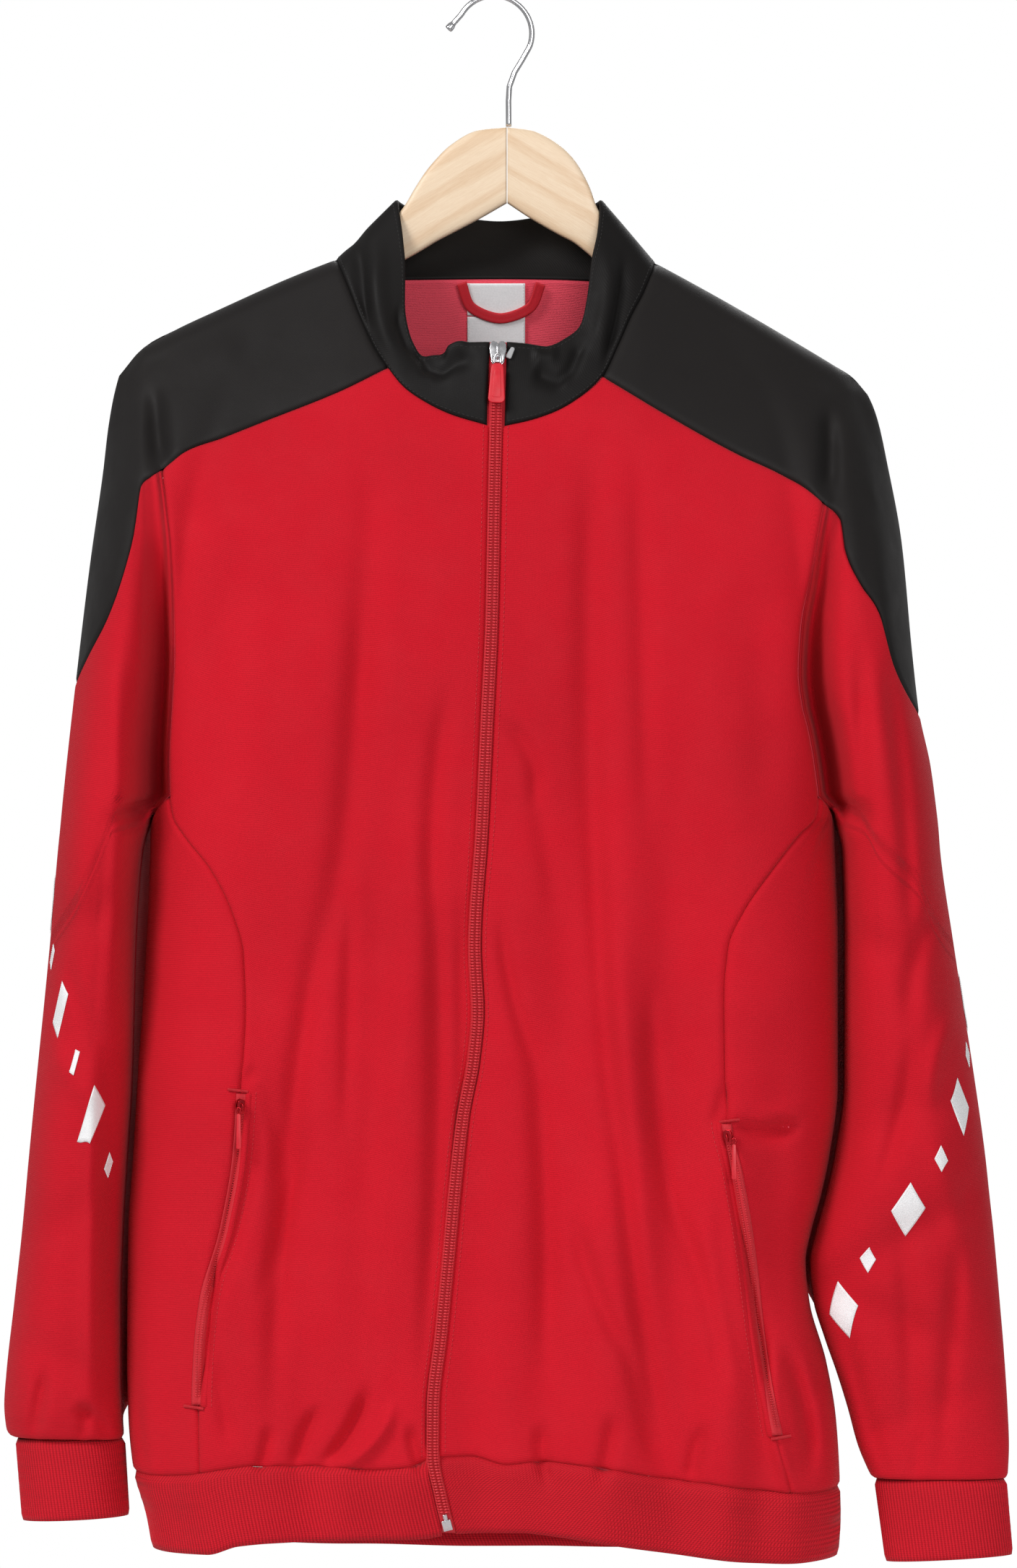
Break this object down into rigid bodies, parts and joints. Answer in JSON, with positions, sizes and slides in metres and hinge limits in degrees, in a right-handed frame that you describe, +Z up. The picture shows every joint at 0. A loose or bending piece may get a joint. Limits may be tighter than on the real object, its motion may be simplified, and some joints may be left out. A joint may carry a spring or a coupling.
{
  "type": "track jacket on hanger",
  "caption": "Zip-front knitted track jacket with stand collar, shoulder yokes, side panels and ribbed hem and cuffs, hung open-necked on a wooden hanger with a wire hook.",
  "frame": {"origin": "inside top of the hook, where a rail bears", "axes": "+Z up, -Y towards the zip front, +X to the left arm of the wearer"},
  "size_m": [0.5722, 0.1492, 0.8897],
  "materials": {
    "red_knit": "matt",
    "black_knit": "matt",
    "red_rib": "matt",
    "red_tape": "woven",
    "red_coil": "satin",
    "white_label": "satin",
    "pale_wood": "lacquered",
    "steel": "bright"
  },
  "bodies": {
    "jacket": {"back": "red_knit", "collar": "black_knit", "cuff_left": "red_rib", "cuff_right": "red_rib", "front_left": "red_knit", "front_right": "red_knit", "hanger_left": "pale_wood", "hanger_right": "pale_wood", "hanging_loop": "red_tape", "hem_band": "red_rib", "hook": "steel", "neck_label": "white_label", "pocket_slider_left": "steel", "pocket_slider_right": "steel", "pocket_zip_left": "red_tape", "pocket_zip_right": "red_tape", "side_panel_left": "red_knit", "side_panel_right": "red_knit", "size_label": "white_label", "sleeve_left": "red_knit", "sleeve_right": "red_knit", "yoke_left": "black_knit", "yoke_right": "black_knit", "zip_coil": "red_coil", "zip_end_box": "steel", "zip_slider": "steel", "zip_tape": "red_tape"},
    "zip_pull": {"zip_pull": "red_tape"},
    "pocket_pull_right": {"pocket_pull_right": "red_tape"},
    "pocket_pull_left": {"pocket_pull_left": "red_tape"}
  },
  "joints": [
    {"name": "zip_pull_swing", "type": "hinge", "parent": "jacket", "child": "zip_pull", "pos_m": [0.00184, -0.05941, -0.20483], "axis": [-1, 0, 0], "range_deg": [0, 150]},
    {"name": "pocket_pull_right_swing", "type": "hinge", "parent": "jacket", "child": "pocket_pull_right", "pos_m": [-0.14264, -0.07432, -0.6268], "axis": [-1, 0, 0], "range_deg": [0, 120]},
    {"name": "pocket_pull_left_swing", "type": "hinge", "parent": "jacket", "child": "pocket_pull_left", "pos_m": [0.13437, -0.07464, -0.6438], "axis": [-1, 0, 0], "range_deg": [0, 120]}
  ]
}
